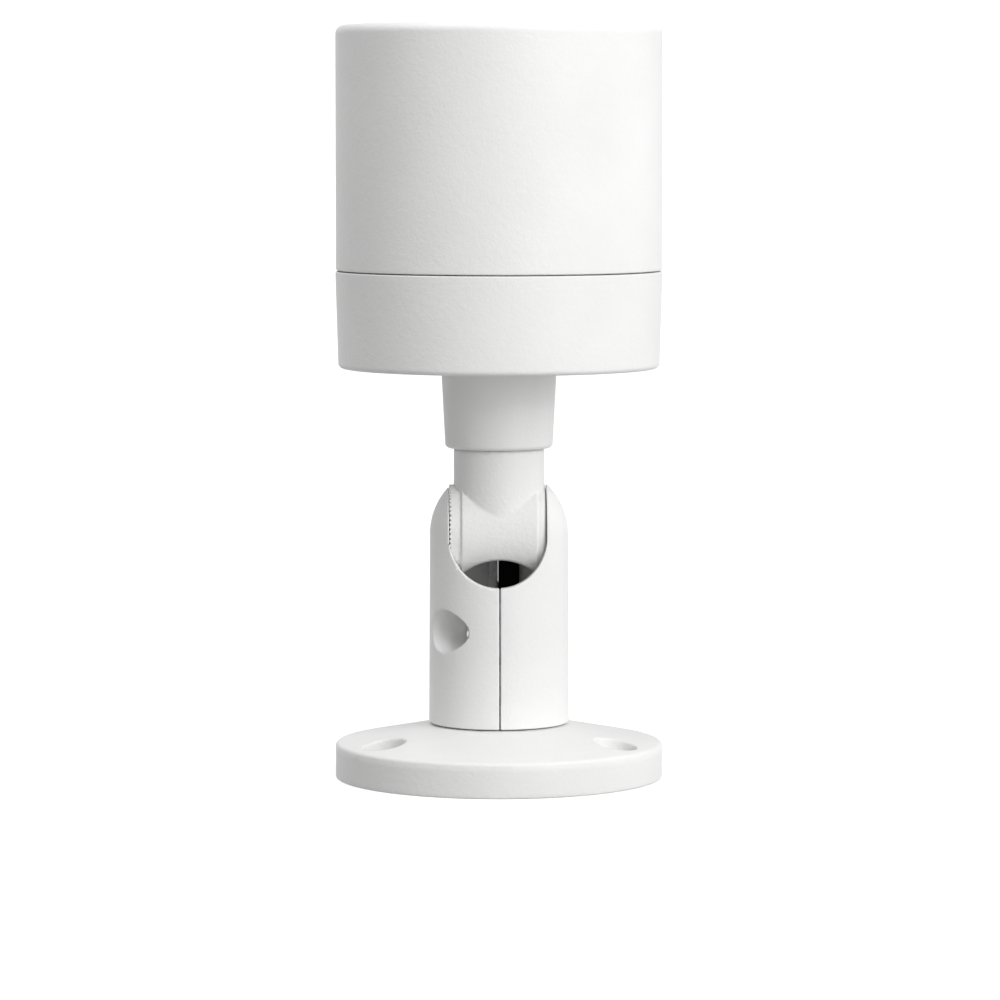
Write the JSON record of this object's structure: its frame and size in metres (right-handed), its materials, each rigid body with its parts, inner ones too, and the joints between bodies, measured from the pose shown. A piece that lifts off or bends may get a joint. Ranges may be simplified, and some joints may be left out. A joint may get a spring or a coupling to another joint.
{
  "type": "security camera",
  "caption": "Cylindrical bullet security camera on a slotted swivel stem with pan, tilt and roll joints, a clamp screw and a round wall flange with a cable bore.",
  "frame": {"origin": "centre of the flange's mounting face, on the wall plane", "axes": "+Z out from the wall along the stem, -Y towards the stem's slot, where the camera tilts to, +X towards the stem's right-hand half"},
  "size_m": [0.0808, 0.0808, 0.185],
  "materials": {
    "body_plastic": "matte",
    "seal_rubber": "matte",
    "black_plastic": "matte",
    "bush_plastic": "satin",
    "window_glass": "gloss",
    "lens_glass": "gloss",
    "filter_glass": "gloss",
    "screw_steel": "satin",
    "sheet_metal": "satin",
    "insert_brass": "satin",
    "coil_copper": "satin",
    "lens_metal": "satin",
    "lamp_epoxy": "gloss",
    "circuit_board": "satin",
    "chip_black": "satin",
    "ribbon_film": "satin"
  },
  "bodies": {
    "base": {"base_flange": "body_plastic", "base_gasket": "seal_rubber"},
    "stem": {"stem_half_left": "body_plastic", "stem_half_right": "body_plastic", "clamp_insert": "insert_brass", "stem_dowels": "screw_steel", "pan_bush": "bush_plastic", "cable_guide": "seal_rubber"},
    "clamp_washer": {"clamp_washer": "screw_steel"},
    "clamp_screw": {"clamp_screw": "screw_steel"},
    "knuckle": {"knuckle": "body_plastic", "neck_orings": "seal_rubber", "journal_retainer": "screw_steel"},
    "camera": {"rear_housing": "body_plastic", "main_housing": "body_plastic", "housing_seal": "seal_rubber", "housing_screws": "screw_steel", "front_window": "window_glass", "window_gasket": "seal_rubber", "front_mask": "black_plastic", "lens_shroud": "seal_rubber", "led_board": "circuit_board", "ir_leds": "lamp_epoxy", "light_sensor": "lamp_epoxy", "led_board_screws": "screw_steel", "lens_barrel": "lens_metal", "front_lens": "lens_glass", "rear_lens": "lens_glass", "lens_holder": "black_plastic", "ir_cut_tray": "black_plastic", "ir_cut_cover": "black_plastic", "ir_cut_coil": "coil_copper", "image_sensor": "chip_black", "sensor_board": "circuit_board", "sensor_bracket": "sheet_metal", "bracket_screws": "screw_steel", "sensor_screws": "screw_steel", "main_board": "circuit_board", "processor": "chip_black", "memory_chips": "chip_black", "ethernet_jack": "sheet_metal", "poe_transformer": "chip_black", "capacitors": "chip_black", "sd_card_slot": "sheet_metal", "board_standoffs": "insert_brass", "board_screws": "screw_steel", "sensor_ribbon": "ribbon_film", "microphone": "sheet_metal", "reset_switch": "chip_black"},
    "ir_cut": {"ir_cut_slider": "sheet_metal", "ir_filter": "filter_glass", "clear_filter": "lens_glass"},
    "reset_button": {"reset_button": "bush_plastic"}
  },
  "joints": [
    {"name": "stem_pan", "type": "hinge", "parent": "base", "child": "stem", "pos_m": [0, 0, 0.0188], "axis": [0, 0, 1], "range_deg": [-180, 180]},
    {"name": "camera_tilt", "type": "hinge", "parent": "stem", "child": "knuckle", "pos_m": [0, 0, 0.061], "axis": [1, 0, 0], "range_deg": [0, 90]},
    {"name": "camera_roll", "type": "hinge", "parent": "knuckle", "child": "camera", "pos_m": [0, 0, 0.09], "axis": [0, 0, 1], "range_deg": [-180, 180]},
    {"name": "clamp_screw_advance", "type": "slide", "parent": "stem", "child": "clamp_washer", "axis": [-1, 0, 0], "range_m": [0, 0.0016]},
    {"name": "clamp_screw_turn", "type": "hinge", "parent": "clamp_washer", "child": "clamp_screw", "pos_m": [-0.01, -0.01005, 0.0372], "axis": [-1, 0, 0], "range_deg": [0, 720]},
    {"name": "ir_cut_shift", "type": "slide", "parent": "camera", "child": "ir_cut", "axis": [1, 0, 0], "range_m": [0, 0.007]},
    {"name": "reset_press", "type": "slide", "parent": "camera", "child": "reset_button", "axis": [0, 0, 1], "range_m": [0, 0.0005], "stiffness_N_per_m": 3000}
  ],
  "couplings": [
    {"joint": "clamp_screw_turn", "follows": "clamp_screw_advance", "rad_per_m": 7853.9}
  ]
}
